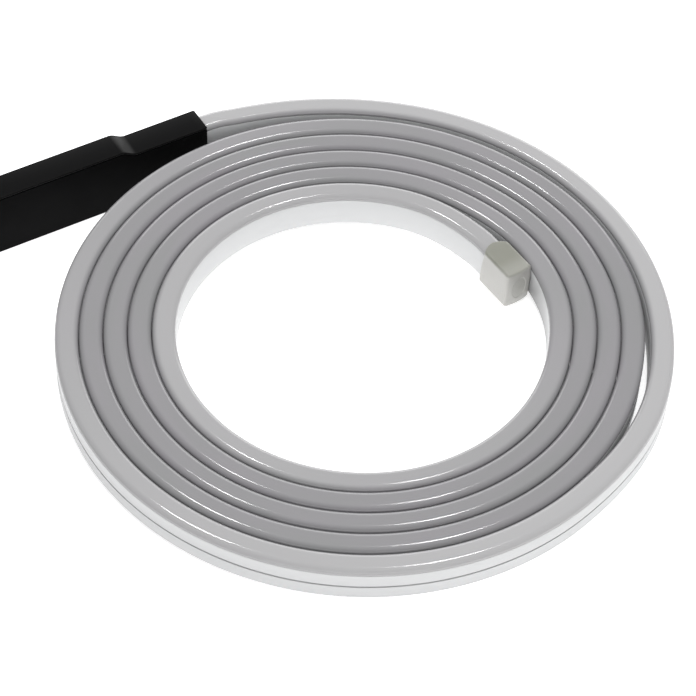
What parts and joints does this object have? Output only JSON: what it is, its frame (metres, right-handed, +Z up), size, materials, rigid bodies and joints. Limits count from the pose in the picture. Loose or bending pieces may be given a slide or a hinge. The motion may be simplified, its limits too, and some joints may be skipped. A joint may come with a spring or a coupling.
{
  "type": "led neon flex",
  "caption": "Flat coil of LED neon flex strip, wound on edge, with a translucent end cap on the inner end and a slim black power housing on the outer end.",
  "frame": {"origin": "bottom centre of the whole part's box, on the floor that it lies on", "axes": "+Z up; +X along the longest side of the box, from the power housing towards the coil; +Y away from the side where the coil's rim touches the floor"},
  "size_m": [0.3882, 0.3214, 0.0385],
  "materials": {
    "jacket": "white satin silicone",
    "diffuser": "milky grey silicone, soft gloss",
    "end_cap": "frosted translucent",
    "housing": "black satin",
    "gland": "matt black"
  },
  "bodies": {
    "root": {"jacket": "jacket", "diffuser": "diffuser", "end_cap": "end_cap", "housing_body": "housing", "housing_lid": "housing", "power_gland": "gland"}
  },
  "joints": []
}
